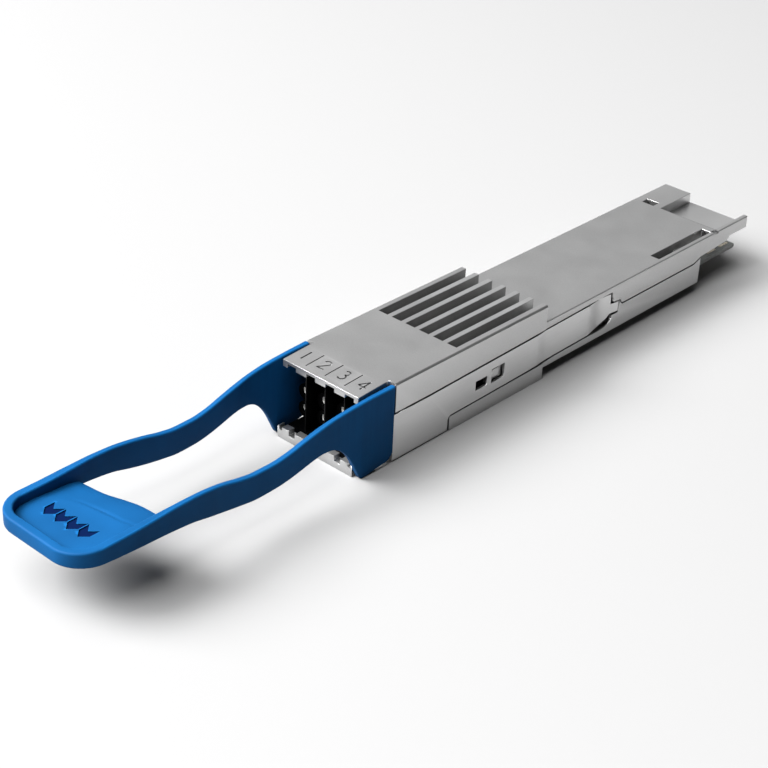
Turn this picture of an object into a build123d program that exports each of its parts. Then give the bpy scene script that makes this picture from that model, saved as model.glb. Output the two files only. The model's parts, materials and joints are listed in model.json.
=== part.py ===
"""Pluggable optical transceiver module with a finned nose, four duplex fibre ports and a sprung pull tab.

Frame, in millimetres: x = 0 is the mid plane, +X to the right seen from the ports; y = 0 is the front edge
of the nose's top tongue, +Y runs along insertion towards the card edge; z = 0 is the nose's flat underside.
"""
from build123d import *
import os

# ---------------------------------------------------------------- driving dimensions (mm)
NOSE_HALF = 9.30            # half width of the nose, which stays outside the cage
BODY_HALF = 9.175           # half width of the part that slides into the cage
NOSE_TOP = 13.60            # top of the nose and of the cooling fins
DECK_TOP = 10.50            # top of the in-cage body
NOSE_CHAMFER = 0.30
BODY_BOTTOM = 2.00          # underside of the in-cage body, which is 8.5 mm high
SPLIT_Z = 9.20              # underside of the top shell's roof
SEAM = [(14.0, 8.62), (55.0, 9.40)]     # y and z of the sloping seam over the latch strip
SPLIT_REAR = 6.38           # lower edge of the top shell's rear skirts
SPLIT_END = 7.10            # the same edge at the rear end of the bottom shell
SEAM_GAP = 0.22             # width of the visible seams

SHOULDER_Y = 6.60           # front of the full-width nose, behind the tongue
FIN_START = 21.30
NOSE_END = 42.40            # rear end of the fins and of the nose's underside
DECK_END = 91.50
SHELL_END = 86.65           # rear end of the bottom shell
HORN_END = 101.10
SHELF_END = 101.30
SKIRT_Y = 60.35             # the top shell's side skirts start behind the latch strip

TONGUE_HALF = 7.83
TEETH_UNDER = 12.15
TEETH_Y = 1.10              # depth of the toothed front lip
TONGUE_UNDER = 12.60
PORT_PITCH = 4.00
PORT_X = [PORT_PITCH * (i - 1.5) for i in range(4)]
NOTCH_W = 1.80

FIN_PITCH = 2.88
FIN_W = 0.98
OUTER_FIN_W = 1.20

SHELF_TOP = 8.65
SHELF_T = 0.55
HORN_X = -3.55
HORN_HOLE = ((-7.60, -5.10), (91.40, 93.10))
WALL_STEP = ((90.20, 91.50), 0.35)      # y range and depth of the step in the right wall's top
SLOT_X = (6.58, 8.35)
SLOT_Y = (74.40, 90.00)
SLOT_WALL = 0.40            # thickness of the wall on the slot's inner side
SLOT_WALL_UNDER = 6.30

CAVITY_HALF = 7.60          # inside of the nose tub
WALL_OUT = 8.65             # outside of the tub behind the latch strip
TUB_FLOOR = 1.30
REAR_FLOOR = 3.00
REAR_WALL_OUT = 8.10        # outside of the tub behind the rear of the latch strip
DENT_X = 7.85               # bottom of the dents behind the strips' dips
DENT_Y = (54.50, 59.50)
DENT_OPEN_Y = (56.00, 60.60)
DENT_SKIN = 0.28            # thin outer wall left under the strips' tips
NECK_HALF = 7.30            # inside of the tub beside the rear of the latch strip
CARD_BAY_HALF = 8.30        # inside of the tub around the wide part of the card
NECK_END = 64.50            # where the tub widens for the card bay
END_WALL = 0.90             # low wall across the bottom shell's rear end

STRIP_T = 0.50              # latch strip sheet thickness
TRAVEL = 1.40               # pull of the latch from rest to its stop
BRIDGE_Y = (7.20, 18.90)    # the strip's cross bridge under the nose
BOSS_Y = (29.20, 30.75)     # stop bosses that stand in the strip's rear windows
BOSS_Z = (5.50, 6.95)
SPRING_WALL = 19.60         # front end of the return springs' pockets
SPRING_TAB = 25.30          # rear end of the springs, against the strip's lanced tabs
SPRING_X = 7.72
SPRING_Z = 5.55
SPRING_R = 0.72
WIRE_R = 0.13
SPRING_TURNS = 7
POCKET_HALF = 1.00
POCKET_END = 28.00
SPRING_BLOCK_X = 6.35
SPRING_BLOCK_TOP = 7.60

CARD_UNDER = 4.40
CARD_TOP = 5.30
CARD_FRONT = 33.60
CARD_STEP = 65.00           # the card widens behind this
CARD_END = 99.10
CARD_HALF = 8.15
CARD_NECK_HALF = 7.00
REST_HALF = 4.00            # half width of the rest under the card's front
REST_FRONT = 38.00

SLEEVE_Z = (3.90, 7.00)     # heights of each port's lower and upper optical axis
SLEEVE_BORE = 0.625
SLEEVE_OUT = 0.85
SLEEVE_SLIT = 0.22          # width of the slit along each sleeve
TAIL_R = 0.50               # turned-down rear end of a stub
FIT = 0.01                  # radial clearance of the bonded ceramic pieces
SLEEVE_Y = (3.60, 8.60)
BARREL_R = 1.40
BARREL_FRONT = 3.10
BLOCK_Y = (7.20, 16.00)     # receptacle block
STUB_Y = (8.61, 17.40)
SCREW_PLACES = [(x, y) for y in (31.0, 82.5) for x in (-6.3, 6.3)]
SCREW_R = 0.80
SCREW_HEAD_R = 1.30
SCREW_HEAD_H = 0.70
SCREW_DRIVE_R = 0.70        # corner radius of the hexagon socket
POST_R = 1.20               # posts around the screws
POST_MEET = 5.60            # height where the shells' posts meet in front of the card
SCREW_GRIP = 3.40           # depth of the threaded hole in each of the top shell's posts

RECEPTACLE_HALF = 7.55
RECEPTACLE_TOP = 12.15
RECEPTACLE_ROOM = 0.15      # room around the receptacle inside the nose
ROOM_END = 18.20
PEDESTAL_X = (-5.20, 5.20)  # pad of the top shell over the signal processor
PEDESTAL_Y = (50.40, 61.60)
PEDESTAL_Z = 7.55
LABEL_Y = (48.00, 77.00)
LABEL_HALF = 7.00
LABEL_DEPTH = 0.15

LIP_FRONT = -0.95           # lip under the ports
LIP_REAR = 0.30
LIP_HALF = 7.86
LIP_TOP = 2.00
LIP_NOTCH = (4.15, 5.45)
LIP_END_NOTCH = (6.90, 7.60)
SILL_TOP = 1.20             # floor under the ports
SILL_HALF = 8.35
STEP_Z = (2.56, 2.86)       # top of the nose's full-width foot under the latch strip, front and rear
BRIDGE_GAP = 0.62           # height of the recess that the strip's bridge slides in
WALL_END = 40.40            # rear end of the wide wall behind the strips


def slab(x, y, z, mode=Mode.ADD):
    """Add or cut a block between two limits along each axis."""
    with Locations(((x[0] + x[1]) / 2, (y[0] + y[1]) / 2, (z[0] + z[1]) / 2)):
        Box(x[1] - x[0], y[1] - y[0], z[1] - z[0], mode=mode)


def pair(x, y, z, mode=Mode.ADD):
    """The same block on the right and, mirrored, on the left."""
    slab(x, y, z, mode)
    slab((-x[1], -x[0]), y, z, mode)


def side_prism(points, x, mode=Mode.ADD):
    """A straight-sided outline in the YZ plane, extruded between two x limits."""
    with BuildSketch(Plane.YZ.offset(x[0])) as outline:
        with BuildLine():
            Polyline(*points, close=True)
        make_face()
    extrude(outline.sketch, amount=x[1] - x[0], mode=mode)


def seam_height(y):
    """Height of the sloping seam between the top shell and the latch strip."""
    (y_low, z_low), (y_high, z_high) = SEAM
    share = min(max((y - y_low) / (y_high - y_low), 0), 1)
    return z_low + share * (z_high - z_low)


def save(part, name):
    """Label a finished piece and write its STEP file."""
    part.label = name
    export_step(part, f"parts/{name}.step")


os.makedirs("parts", exist_ok=True)

# ---------------------------------------------------------------- top shell
DIGIT_W = 0.27
MARK_DEPTH = 0.20
RULE_W = 0.20
RULE_Y = (1.00, 4.95)
RAMP_DROP = 0.30
RAMP_Y = 5.40
# strokes of the numerals 1 to 4, each from its port's centre line: port, start, end
STRAIGHT_STROKES = [
    (1, (0.0, 1.9), (0.0, 4.3)),
    (2, (0.52, 3.45), (-0.62, 2.0)),
    (2, (-0.72, 2.0), (0.7, 2.0)),
    (4, (0.3, 1.8), (0.3, 4.3)),
    (4, (0.3, 4.22), (-0.7, 2.65)),
    (4, (-0.74, 2.65), (0.8, 2.65)),
]
# port, centre, radius, start angle and turn
ROUND_STROKES = [
    (2, (0.0, 3.66), 0.56, -20, 190),
    (3, (0.0, 3.68), 0.52, -90, 230),
    (3, (0.0, 2.54), 0.62, -140, 230),
]
fin_centres = [FIN_PITCH * i for i in range(-2, 3)]
groove_edges = [-NOSE_HALF + OUTER_FIN_W]
for centre in fin_centres:
    groove_edges += [centre - FIN_W / 2, centre + FIN_W / 2]
groove_edges.append(NOSE_HALF - OUTER_FIN_W)

with BuildPart() as top_shell:
    # the roof over the whole interior
    slab((-NOSE_HALF, NOSE_HALF), (SHOULDER_Y, NOSE_END), (SPLIT_Z, DECK_TOP))
    slab((-BODY_HALF, BODY_HALF), (NOSE_END, DECK_END), (SPLIT_Z, DECK_TOP))
    # the nose block and the tongue over the ports
    slab((-NOSE_HALF, NOSE_HALF), (SHOULDER_Y, NOSE_END), (DECK_TOP, NOSE_TOP))
    slab((-TONGUE_HALF, TONGUE_HALF), (0, SHOULDER_Y), (TONGUE_UNDER, NOSE_TOP))
    slab((-TONGUE_HALF, TONGUE_HALF), (0, TEETH_Y), (TEETH_UNDER, TONGUE_UNDER))
    # long top edges of the nose, broken by a chamfer in front of the fins
    long_edges = top_shell.edges().filter_by(Axis.Y).group_by(Axis.Z)[-1]
    chamfer(long_edges.filter_by(lambda e: abs(e.center().X) > NOSE_HALF - 0.01), length=NOSE_CHAMFER)
    # grooves between the fins
    for left, right in zip(groove_edges[0::2], groove_edges[1::2]):
        slab((left, right), (FIN_START, NOSE_END), (DECK_TOP, NOSE_TOP), Mode.SUBTRACT)
    # the nose's side flanges come down to the sloping seam; behind the nose the seam cuts into the roof
    flange_end = seam_height(NOSE_END)
    flange = [
        (SHOULDER_Y, SEAM[0][1]),
        SEAM[0],
        (NOSE_END, flange_end),
        (NOSE_END, SPLIT_Z + 0.1),
        (SHOULDER_Y, SPLIT_Z + 0.1),
    ]
    rebate = [(44.6, SPLIT_Z), SEAM[1], (SKIRT_Y, SEAM[1][1]), (SKIRT_Y, SPLIT_Z)]
    for side in (1, -1):
        side_prism(flange, sorted((side * (WALL_OUT + 0.07), side * NOSE_HALF)))
        side_prism(rebate, sorted((side * (REAR_WALL_OUT + 0.05), side * NOSE_HALF)), Mode.SUBTRACT)
    # room for the port receptacle inside the nose
    room_half = RECEPTACLE_HALF + RECEPTACLE_ROOM
    room_top = RECEPTACLE_TOP + RECEPTACLE_ROOM
    slab((-room_half, room_half), (SHOULDER_Y - 0.1, ROOM_END), (SPLIT_Z, room_top), Mode.SUBTRACT)
    # notches in the tongue's front lip, one over each port
    for x in PORT_X:
        notch_x = (x - NOTCH_W / 2, x + NOTCH_W / 2)
        slab(notch_x, (0, TEETH_Y), (TEETH_UNDER, TONGUE_UNDER + 0.2), Mode.SUBTRACT)
    # the tongue slopes down to its front edge
    side_prism(
        [(0, NOSE_TOP - RAMP_DROP), (RAMP_Y, NOSE_TOP), (0, NOSE_TOP)],
        (-TONGUE_HALF, TONGUE_HALF),
        Mode.SUBTRACT,
    )
    # side skirts of the rear body, each with a rounded front corner over the latch strip's tip
    for x_low in (CARD_BAY_HALF, -BODY_HALF):
        with BuildSketch(Plane.YZ.offset(x_low)):
            with BuildLine():
                Polyline(
                    (SKIRT_Y + 1.0, 7.4),
                    (62.8, 7.2),
                    (63.15, 6.6),
                    (63.6, SPLIT_REAR),
                    (84.6, SPLIT_REAR),
                    (SHELL_END, SPLIT_END),
                    (94.6, 7.55),
                    (95.3, 8.30),
                    (HORN_END - 0.4, 8.30),
                    (HORN_END - 0.4, DECK_TOP),
                    (SKIRT_Y, DECK_TOP),
                    (SKIRT_Y, 8.4),
                )
                RadiusArc((SKIRT_Y, 8.4), (SKIRT_Y + 1.0, 7.4), -1.0)
            make_face()
        extrude(amount=BODY_HALF - CARD_BAY_HALF)
    # the shelf behind the deck, its riser, and the horn on the left
    slab((HORN_X, SLOT_X[0]), (DECK_END - 1.0, SHELF_END), (SHELF_TOP - SHELF_T, SHELF_TOP))
    slab((HORN_X, SLOT_X[0]), (DECK_END - 1.0, DECK_END), (SHELF_TOP - SHELF_T, DECK_TOP))
    slab((-BODY_HALF, HORN_X), (DECK_END - 1.0, HORN_END), (SHELF_TOP - SHELF_T, DECK_TOP))
    # rectangular hole in the horn, the slot beside the deck and the step in the right wall's top
    slab(*HORN_HOLE, (SHELF_TOP - SHELF_T - 1, DECK_TOP), Mode.SUBTRACT)
    slab(SLOT_X, SLOT_Y, (SPLIT_Z - 1, DECK_TOP), Mode.SUBTRACT)
    slab((SLOT_X[1], BODY_HALF), WALL_STEP[0], (DECK_TOP - WALL_STEP[1], DECK_TOP), Mode.SUBTRACT)
    # wall that closes the slot towards the card's parts
    slab((SLOT_X[0] - SLOT_WALL, SLOT_X[0]), (SLOT_Y[0] - 0.2, SLOT_Y[1] + 0.4), (SLOT_WALL_UNDER, SPLIT_Z))
    # pedestal that presses the thermal pad on the signal processor
    slab(PEDESTAL_X, PEDESTAL_Y, (PEDESTAL_Z, SPLIT_Z))
    # screw posts, which meet the bottom shell's posts at the card
    for x, y in SCREW_PLACES:
        with Locations((x, y, (SPLIT_Z + POST_MEET) / 2)):
            Cylinder(POST_R, SPLIT_Z - POST_MEET)
        with Locations((x, y, POST_MEET + SCREW_GRIP / 2)):
            Cylinder(SCREW_R, SCREW_GRIP, mode=Mode.SUBTRACT)
    # engraved port marks: a rule between the ports and the numerals 1 to 4
    mark_floor = NOSE_TOP - RAMP_DROP - MARK_DEPTH
    for x in [PORT_PITCH * i for i in (-1, 0, 1)]:
        slab((x - RULE_W / 2, x + RULE_W / 2), RULE_Y, (mark_floor, NOSE_TOP), Mode.SUBTRACT)
    with BuildSketch(Plane.XY.offset(mark_floor)):
        for port, (x1, y1), (x2, y2) in STRAIGHT_STROKES:
            with BuildLine():
                Line((PORT_X[port - 1] + x1, y1), (PORT_X[port - 1] + x2, y2))
            trace(line_width=DIGIT_W)
        for port, (x, y), radius, start, sweep_angle in ROUND_STROKES:
            with BuildLine():
                CenterArc((PORT_X[port - 1] + x, y), radius, start, sweep_angle)
            trace(line_width=DIGIT_W)
    extrude(amount=1.0, mode=Mode.SUBTRACT)
save(top_shell.part, "top_shell")

# ---------------------------------------------------------------- bottom shell
with BuildPart() as bottom_shell:
    # full-width foot of the nose behind the strip's bridge, and the narrower foot over the bridge
    foot_y = BRIDGE_Y[1] + 0.45
    side_prism(
        [(foot_y, 0), (NOSE_END, 0), (NOSE_END, STEP_Z[1]), (foot_y, STEP_Z[0])],
        (-NOSE_HALF, NOSE_HALF),
    )
    slab((-WALL_OUT, WALL_OUT), (SHOULDER_Y + 0.1, WALL_END), (BRIDGE_GAP, SPLIT_Z - 0.05))
    # the in-cage tub, its side faces cut back in front for the latch strips
    side_prism(
        [
            (NOSE_END, BODY_BOTTOM),
            (SHELL_END, BODY_BOTTOM),
            (SHELL_END, SPLIT_END - SEAM_GAP),
            (84.6, SPLIT_REAR - SEAM_GAP),
            (63.5, SPLIT_REAR - SEAM_GAP),
            (63.0, 6.55),
            (62.7, 7.05),
            (62.45, 7.05),
            (62.45, 4.95),
            (60.85, 4.95),
            (60.75, 4.3),
            (60.2, 3.75),
            (59.0, 3.35),
            (57.0, 3.2),
            (54.2, 3.24),
            (45.0, 3.10),
            (NOSE_END, STEP_Z[1]),
        ],
        (-BODY_HALF, BODY_HALF),
    )
    slab((-REAR_WALL_OUT, REAR_WALL_OUT), (WALL_END, NECK_END), (BODY_BOTTOM, SPLIT_Z - 0.05))
    # the lip under the ports
    slab((-LIP_HALF, LIP_HALF), (LIP_FRONT, SHOULDER_Y + 0.1), (0, SILL_TOP))
    slab((-LIP_HALF, LIP_HALF), (LIP_FRONT, LIP_REAR), (SILL_TOP, LIP_TOP))
    slab((-SILL_HALF, SILL_HALF), (SHOULDER_Y - 1.5, SHOULDER_Y + 0.1), (BRIDGE_GAP, SILL_TOP))
    pair(LIP_NOTCH, (LIP_FRONT, LIP_REAR), (LIP_TOP - 0.85, LIP_TOP), Mode.SUBTRACT)
    pair(LIP_END_NOTCH, (LIP_FRONT, LIP_REAR), (LIP_TOP - 0.55, LIP_TOP), Mode.SUBTRACT)
    # interior of the nose, of the neck beside the strips and of the card bay
    slab((-CAVITY_HALF, CAVITY_HALF), (SHOULDER_Y - 0.1, NOSE_END), (TUB_FLOOR, SPLIT_Z), Mode.SUBTRACT)
    slab((-NECK_HALF, NECK_HALF), (NOSE_END, NECK_END), (REAR_FLOOR, SPLIT_Z), Mode.SUBTRACT)
    bay_x = (-CARD_BAY_HALF, CARD_BAY_HALF)
    slab(bay_x, (NECK_END, SHELL_END - END_WALL), (REAR_FLOOR, SPLIT_Z), Mode.SUBTRACT)
    slab(bay_x, (SHELL_END - END_WALL, SHELL_END), (CARD_UNDER - 0.1, SPLIT_Z), Mode.SUBTRACT)
    # recess that lets the strip's bridge slide under the nose
    slab((-NOSE_HALF, NOSE_HALF), (BRIDGE_Y[0] - TRAVEL - 0.2, foot_y), (0, BRIDGE_GAP), Mode.SUBTRACT)
    # blocks in the side walls with the return springs' pockets, and the stop bosses
    pair((SPRING_BLOCK_X, CAVITY_HALF), (SPRING_WALL - 1.0, POCKET_END + 0.6), (TUB_FLOOR, SPRING_BLOCK_TOP))
    pair(
        (SPRING_X - POCKET_HALF + 0.1, WALL_OUT),
        (SPRING_WALL, POCKET_END),
        (SPRING_Z - POCKET_HALF, SPRING_Z + POCKET_HALF),
        Mode.SUBTRACT,
    )
    pair((WALL_OUT, NOSE_HALF - 0.06), BOSS_Y, BOSS_Z)
    # shallow dent behind each strip where it dips before its flared tip, open below the tip's lower edge
    pair((DENT_X, REAR_WALL_OUT), DENT_Y, (REAR_FLOOR, SPLIT_Z), Mode.SUBTRACT)
    pair((DENT_X, BODY_HALF - DENT_SKIN), DENT_OPEN_Y, (REAR_FLOOR, 5.0), Mode.SUBTRACT)
    # posts under the card, each with a counterbored screw hole from below
    for x, y in SCREW_PLACES:
        seat = 0 if y < NOSE_END else BODY_BOTTOM
        post_top = POST_MEET - 0.05 if y < CARD_FRONT else CARD_UNDER
        with Locations((x, y, (seat + post_top) / 2)):
            Cylinder(POST_R, post_top - seat)
        with Locations((x, y, (seat + post_top) / 2)):
            Cylinder(SCREW_R + 0.05, post_top - seat, mode=Mode.SUBTRACT)
        with Locations((x, y, seat + SCREW_HEAD_H / 2 + 0.05)):
            Cylinder(SCREW_HEAD_R + 0.1, SCREW_HEAD_H + 0.1, mode=Mode.SUBTRACT)
    # rest that carries the card's front
    slab((-REST_HALF, REST_HALF), (REST_FRONT, NOSE_END), (TUB_FLOOR, CARD_UNDER))
    # shallow bed for the label
    slab((-LABEL_HALF, LABEL_HALF), LABEL_Y, (BODY_BOTTOM, BODY_BOTTOM + LABEL_DEPTH), Mode.SUBTRACT)
save(bottom_shell.part, "bottom_shell")

# ---------------------------------------------------------------- latch strip
WINDOW_FRONT = (25.30, 27.95)
WINDOW_REAR = (29.10, 32.20)
STRIP_FRONT = 6.30
STRIP_DROP = 0.28           # the strip's top edge stays this far below the seam
BODY_X = 9.12               # outside of the strip beside the in-cage body
DIP = (8.80, 57.4)          # deepest place of the dip: half width and y
TIP_Y = 62.10
TIP_X = 9.34
TIP_Z = (5.40, 7.20)

with BuildPart() as latch_slider:
    # seen from above, each side is one bent strip: a joggle into the body line, a dip and a flared tip
    with BuildSketch(Plane.XY):
        with BuildLine():
            for inset in (0.0, STRIP_T):
                front = Line((NOSE_HALF - inset, STRIP_FRONT), (NOSE_HALF - inset, 40.4))
                joggle = Spline(front @ 1, (BODY_X - inset, 42.9), tangents=[(0, 1), (0, 1)])
                middle = Line(joggle @ 1, (BODY_X - inset, 53.8))
                Spline(
                    middle @ 1,
                    (DIP[0] - inset, DIP[1]),
                    (TIP_X - 0.26 - inset, 60.2),
                    (TIP_X - inset, TIP_Y),
                    tangents=[(0, 1), (0.14, 1)],
                )
            Line((NOSE_HALF, STRIP_FRONT), (NOSE_HALF - STRIP_T, STRIP_FRONT))
            Line((TIP_X, TIP_Y), (TIP_X - STRIP_T, TIP_Y))
        make_face()
    extrude(amount=SEAM[1][1])
    mirror(about=Plane.YZ)
    # seen from the side: full height in front, then a narrower strip that ends in a small tip
    with BuildSketch(Plane.YZ.offset(-NOSE_HALF - 1)):
        with BuildLine():
            Polyline(
                (STRIP_FRONT, 0.0),
                (BRIDGE_Y[1], 0.0),
                (BRIDGE_Y[1], 2.05),
            )
            RadiusArc((BRIDGE_Y[1], 2.05), (BRIDGE_Y[1] + 0.75, 2.80), 0.75)
            Polyline(
                (BRIDGE_Y[1] + 0.75, 2.80),
                (33.0, 2.98),
                (39.0, 3.12),
                (45.0, 3.32),
                (54.0, 3.44),
                (57.0, 3.80),
                (59.0, 4.48),
                (60.05, 5.25),
                (60.15, TIP_Z[0]),
                (TIP_Y, TIP_Z[0]),
                (TIP_Y, TIP_Z[1]),
                (60.2, TIP_Z[1]),
                (60.1, SEAM[1][1] - STRIP_DROP),
                (SEAM[1][0], SEAM[1][1] - STRIP_DROP),
                (SEAM[0][0], SEAM[0][1] - STRIP_DROP),
                (STRIP_FRONT, SEAM[0][1] - STRIP_DROP),
                (STRIP_FRONT, 0.0),
            )
        make_face()
    extrude(amount=2 * NOSE_HALF + 2, mode=Mode.INTERSECT)
    # bridge under the nose, with rounded bends
    slab((-NOSE_HALF, NOSE_HALF), (STRIP_FRONT, BRIDGE_Y[1]), (0, STRIP_T))
    slab((-9.0, 9.0), (STRIP_FRONT - 0.1, BRIDGE_Y[0]), (0, STRIP_T), Mode.SUBTRACT)
    bends = latch_slider.edges().filter_by(Axis.Y).group_by(Axis.Z)[0]
    fillet(bends.filter_by(lambda e: abs(e.center().X) > NOSE_HALF - 0.01), radius=0.45)
    # windows: behind the lanced spring tab, and around the stop boss
    pair((8.5, 9.5), WINDOW_FRONT, (4.75, 6.40), Mode.SUBTRACT)
    pair((8.5, 9.5), WINDOW_REAR, (4.60, 7.10), Mode.SUBTRACT)
    # lanced tab that bears on the return spring
    pair((6.95, 8.85), (SPRING_TAB, SPRING_TAB + 0.3), (4.90, 6.25))
    # thinner front ends, moulded into the pull tab's side plates
    pair((NOSE_HALF - STRIP_T, 9.10), (1.6, STRIP_FRONT + 0.05), (4.2, 8.4))
save(latch_slider.part, "latch_slider")

# ---------------------------------------------------------------- pull tab
TAB_END = -53.20
RIM_W = 1.45
CORNER_R = 4.90
PLATE_REAR = 6.20
FLOOR_TOP = 10.10
FLOOR_UNDER = 8.85
RAMP_START = -43.0
RAMP_FALL = 0.95

with BuildPart() as pull_tab:
    # plan: two arms that waist in and spread again into a rounded finger end
    with BuildSketch(Plane.XY):
        for half, corner, rear_half, waist, end in (
            (9.18, CORNER_R, 9.46, 8.66, TAB_END),
            (8.04, CORNER_R - RIM_W, 8.46, 7.66, TAB_END + RIM_W),
        ):
            with BuildLine():
                right = Spline(
                    (rear_half, PLATE_REAR),
                    (rear_half - 0.22, -3.0),
                    (waist + 0.24, -13.0),
                    (waist, -23.0),
                    (half - 0.2, -34.0),
                    (half, -42.0),
                    tangents=[(0, -1), (0, -1)],
                )
                side = Line(right @ 1, (half, end + corner))
                bend = RadiusArc(side @ 1, (half - corner, end), corner)
                Line(bend @ 1, (0, end))
                mirror(about=Plane.YZ)
                Line((rear_half, PLATE_REAR), (-rear_half, PLATE_REAR))
            make_face(mode=Mode.ADD if end == TAB_END else Mode.SUBTRACT)
    extrude(amount=NOSE_TOP + 1)
    # side view: the arms dip between the finger end and the tall side plates
    with BuildSketch(Plane.YZ.offset(-NOSE_HALF - 1)):
        with BuildLine():
            top = Spline(
                (PLATE_REAR, 13.45),
                (-3.0, 13.12),
                (-9.0, 12.17),
                (-15.0, 10.62),
                (-19.6, 10.13),
                (-24.5, 10.62),
                (-30.0, 11.66),
                (-36.0, 11.93),
                (-45.0, 11.63),
                (TAB_END - 0.5, 11.55),
            )
            front = Line(top @ 1, (TAB_END - 0.5, 9.25))
            under = Spline(
                front @ 1,
                (-46.0, 8.70),
                (-38.5, 8.38),
                (-33.0, 7.87),
                (-27.0, 6.62),
                (-20.0, 5.86),
                (-14.0, 6.50),
                (-9.3, 7.80),
                (-6.9, 7.95),
                (-4.36, 6.45),
                (-2.3, 3.70),
                (-0.95, 0.0),
            )
            Polyline(under @ 1, (5.1, 0.75), (PLATE_REAR, 1.75), (PLATE_REAR, 13.45))
        make_face()
    extrude(amount=2 * NOSE_HALF + 2, mode=Mode.INTERSECT)
    # recessed floor of the finger end, its rear edge a shallow wave
    with BuildSketch(Plane.XY.offset(FLOOR_UNDER)):
        with BuildLine():
            wave = Spline(
                (8.4, -37.3),
                (5.4, -36.9),
                (1.5, -37.5),
                (-2.5, -39.0),
                (-8.4, -39.9),
                tangents=[(-1, 0.3), (-1, 0.3)],
            )
            Polyline(
                wave @ 1,
                (-8.4, -48.0),
                (-4.9, TAB_END + 0.7),
                (4.9, TAB_END + 0.7),
                (8.4, -48.0),
                wave @ 0,
            )
        make_face()
    extrude(amount=FLOOR_TOP - FLOOR_UNDER)
    # behind a crease the floor's top falls away to its rear edge
    side_prism(
        [(RAMP_START, FLOOR_TOP), (-36.0, FLOOR_TOP - RAMP_FALL), (-36.0, FLOOR_TOP)],
        (-7.9, 7.9),
        Mode.SUBTRACT,
    )
    # the strip's front ends are moulded in
    add(latch_slider.part, mode=Mode.SUBTRACT)
save(pull_tab.part, "pull_tab")

# ---------------------------------------------------------------- return springs
spring_length = SPRING_TAB - SPRING_WALL - 0.1
for side, name in ((-1, "return_spring_left"), (1, "return_spring_right")):
    seat = (side * SPRING_X, SPRING_WALL + 0.05 + WIRE_R, SPRING_Z)
    coil_length = spring_length - 2 * WIRE_R
    with BuildPart() as return_spring:
        with BuildLine():
            pitch = coil_length / SPRING_TURNS
            coil = Helix(pitch=pitch, height=coil_length, radius=SPRING_R, center=seat, direction=(0, 1, 0))
        with BuildSketch(Plane(origin=coil @ 0, z_dir=coil % 0)):
            Circle(WIRE_R)
        sweep(path=coil, is_frenet=True)
    save(return_spring.part, name)

# ---------------------------------------------------------------- port receptacle
GASKET_Y = (12.60, 14.00)
GASKET_INNER = (14.30, 9.95)
GASKET_OUTER = (15.16, 10.86)
KEYWAY = (1.60, 3.00, (10.00, 11.40))   # width, depth and heights of the latch room over each port
DIVIDER_T = 0.24
DIVIDER_FRONT = 1.15
DIVIDER_TOP = 12.05
GASKET_MID = (TUB_FLOOR + 0.1 + RECEPTACLE_TOP) / 2

with BuildPart() as port_receptacle:
    slab((-RECEPTACLE_HALF, RECEPTACLE_HALF), BLOCK_Y, (TUB_FLOOR + 0.1, RECEPTACLE_TOP))
    # floor tray and thin walls that reach forward between the ports
    slab((-RECEPTACLE_HALF, RECEPTACLE_HALF), (0.4, BLOCK_Y[0]), (TUB_FLOOR, TUB_FLOOR + 0.2))
    for x in [PORT_PITCH * i for i in (-1, 0, 1)]:
        slab((x - DIVIDER_T / 2, x + DIVIDER_T / 2), (DIVIDER_FRONT, BLOCK_Y[0]), (TUB_FLOOR, DIVIDER_TOP))
    # keyway over each port
    keyway_w, keyway_depth, keyway_z = KEYWAY
    for x in PORT_X:
        keyway_x = (x - keyway_w / 2, x + keyway_w / 2)
        slab(keyway_x, (BLOCK_Y[0], BLOCK_Y[0] + keyway_depth), keyway_z, Mode.SUBTRACT)
    # a round barrel in front of each sleeve, and its bore right through the block
    for x in PORT_X:
        for z in SLEEVE_Z:
            with BuildSketch(Plane.XZ.offset(-BLOCK_Y[0])):
                with Locations((x, z)):
                    Circle(BARREL_R)
            extrude(amount=BLOCK_Y[0] - BARREL_FRONT)
            with BuildSketch(Plane.XZ.offset(-BLOCK_Y[1])):
                with Locations((x, z)):
                    Circle(SLEEVE_OUT + FIT)
            extrude(amount=BLOCK_Y[1], mode=Mode.SUBTRACT)
    # groove for the shielding gasket
    with BuildSketch(Plane.XZ.offset(-GASKET_Y[0])):
        with Locations((0, GASKET_MID)):
            Rectangle(2 * RECEPTACLE_HALF + 1, RECEPTACLE_TOP)
            Rectangle(*GASKET_INNER, mode=Mode.SUBTRACT)
    extrude(amount=GASKET_Y[0] - GASKET_Y[1], mode=Mode.SUBTRACT)
save(port_receptacle.part, "port_receptacle")

with BuildPart() as emi_gasket:
    with BuildSketch(Plane.XZ.offset(-GASKET_Y[0] - 0.05)):
        with Locations((0, GASKET_MID)):
            Rectangle(*GASKET_OUTER)
            Rectangle(*GASKET_INNER, mode=Mode.SUBTRACT)
    extrude(amount=GASKET_Y[0] - GASKET_Y[1] + 0.1)
save(emi_gasket.part, "emi_gasket")

with BuildPart() as split_sleeves:
    for x in PORT_X:
        for z in SLEEVE_Z:
            with BuildSketch(Plane.XZ.offset(-SLEEVE_Y[0])):
                with Locations((x, z)):
                    Circle(SLEEVE_OUT)
                    Circle(SLEEVE_BORE, mode=Mode.SUBTRACT)
                with Locations((x, z + 0.75)):
                    Rectangle(SLEEVE_SLIT, 0.7, mode=Mode.SUBTRACT)
            extrude(amount=SLEEVE_Y[0] - SLEEVE_Y[1])
save(split_sleeves.part, "split_sleeves")

with BuildPart() as ferrule_stubs:
    for x in PORT_X:
        for z in SLEEVE_Z:
            for radius, front, rear in (
                (SLEEVE_OUT, STUB_Y[0], BLOCK_Y[1]),
                (TAIL_R, BLOCK_Y[1], STUB_Y[1]),
            ):
                with BuildSketch(Plane.XZ.offset(-front)):
                    with Locations((x, z)):
                        Circle(radius)
                extrude(amount=front - rear)
save(ferrule_stubs.part, "ferrule_stubs")

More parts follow.
